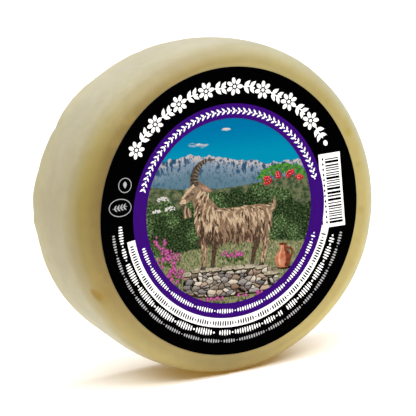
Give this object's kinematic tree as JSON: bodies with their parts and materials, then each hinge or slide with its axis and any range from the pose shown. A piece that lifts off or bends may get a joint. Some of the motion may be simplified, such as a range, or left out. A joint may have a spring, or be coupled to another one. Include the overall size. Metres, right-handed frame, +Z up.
{
  "type": "semi-cured goat cheese",
  "caption": "Small wheel of semi-cured goat cheese with a smooth ivory rind, standing on its rim, with a round printed paper label on its front face.",
  "frame": {"origin": "on the floor, under the middle of the whole", "axes": "+Z up; the wheel's axis runs along Y, the labelled face looks towards -Y and the bare back face towards +Y; +X is to the right of someone who faces the label"},
  "size_m": [0.1416, 0.0466, 0.1369],
  "materials": {
    "rind": "smooth, waxy, faintly translucent ivory rind, softly mottled",
    "label_paper": "coated printed paper with a black border, satin"
  },
  "bodies": {
    "root": {"cheese": "rind", "label": "label_paper"}
  },
  "joints": []
}
